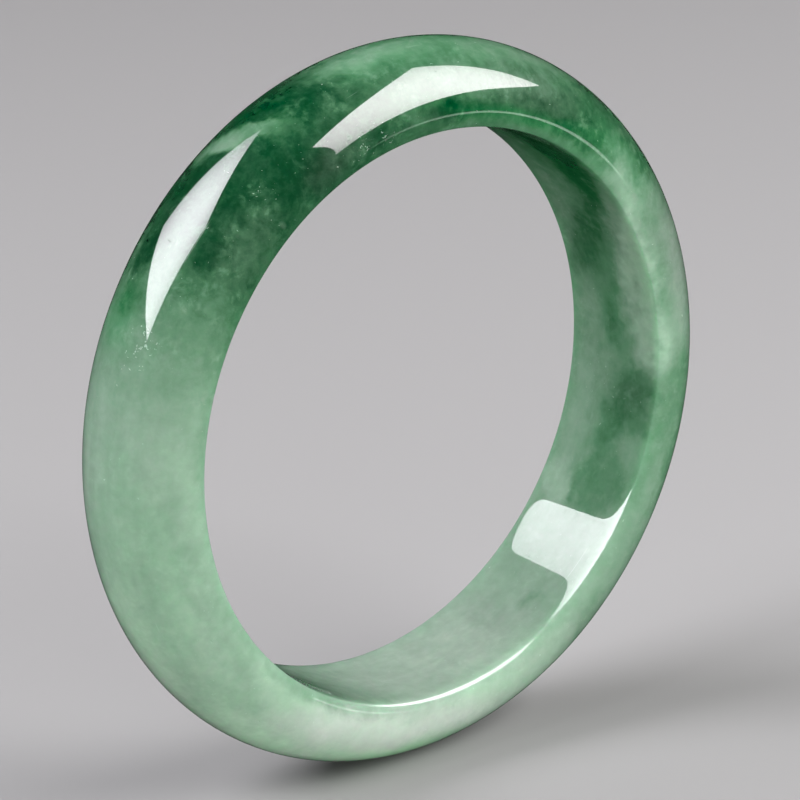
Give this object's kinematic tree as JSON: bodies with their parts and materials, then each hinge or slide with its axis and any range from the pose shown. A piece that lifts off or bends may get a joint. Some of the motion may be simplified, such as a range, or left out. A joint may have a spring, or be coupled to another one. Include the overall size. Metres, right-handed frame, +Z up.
{
  "type": "bangle bracelet",
  "caption": "Seamless polished green stone bangle with a flat inner wall and a domed outside, worn on the wrist.",
  "frame": {"origin": "centre of the ring, on its axis, midway between the two rims", "axes": "+Y along the ring's axis, the way the wrist passes through; +Z up, with the ring on edge as pictured; the deepest green of the stone is on the side towards -X and +Z"},
  "size_m": [0.0722, 0.0136, 0.0722],
  "materials": {
    "jade": "polished"
  },
  "bodies": {
    "root": {"jade_ring": "jade"}
  },
  "joints": []
}
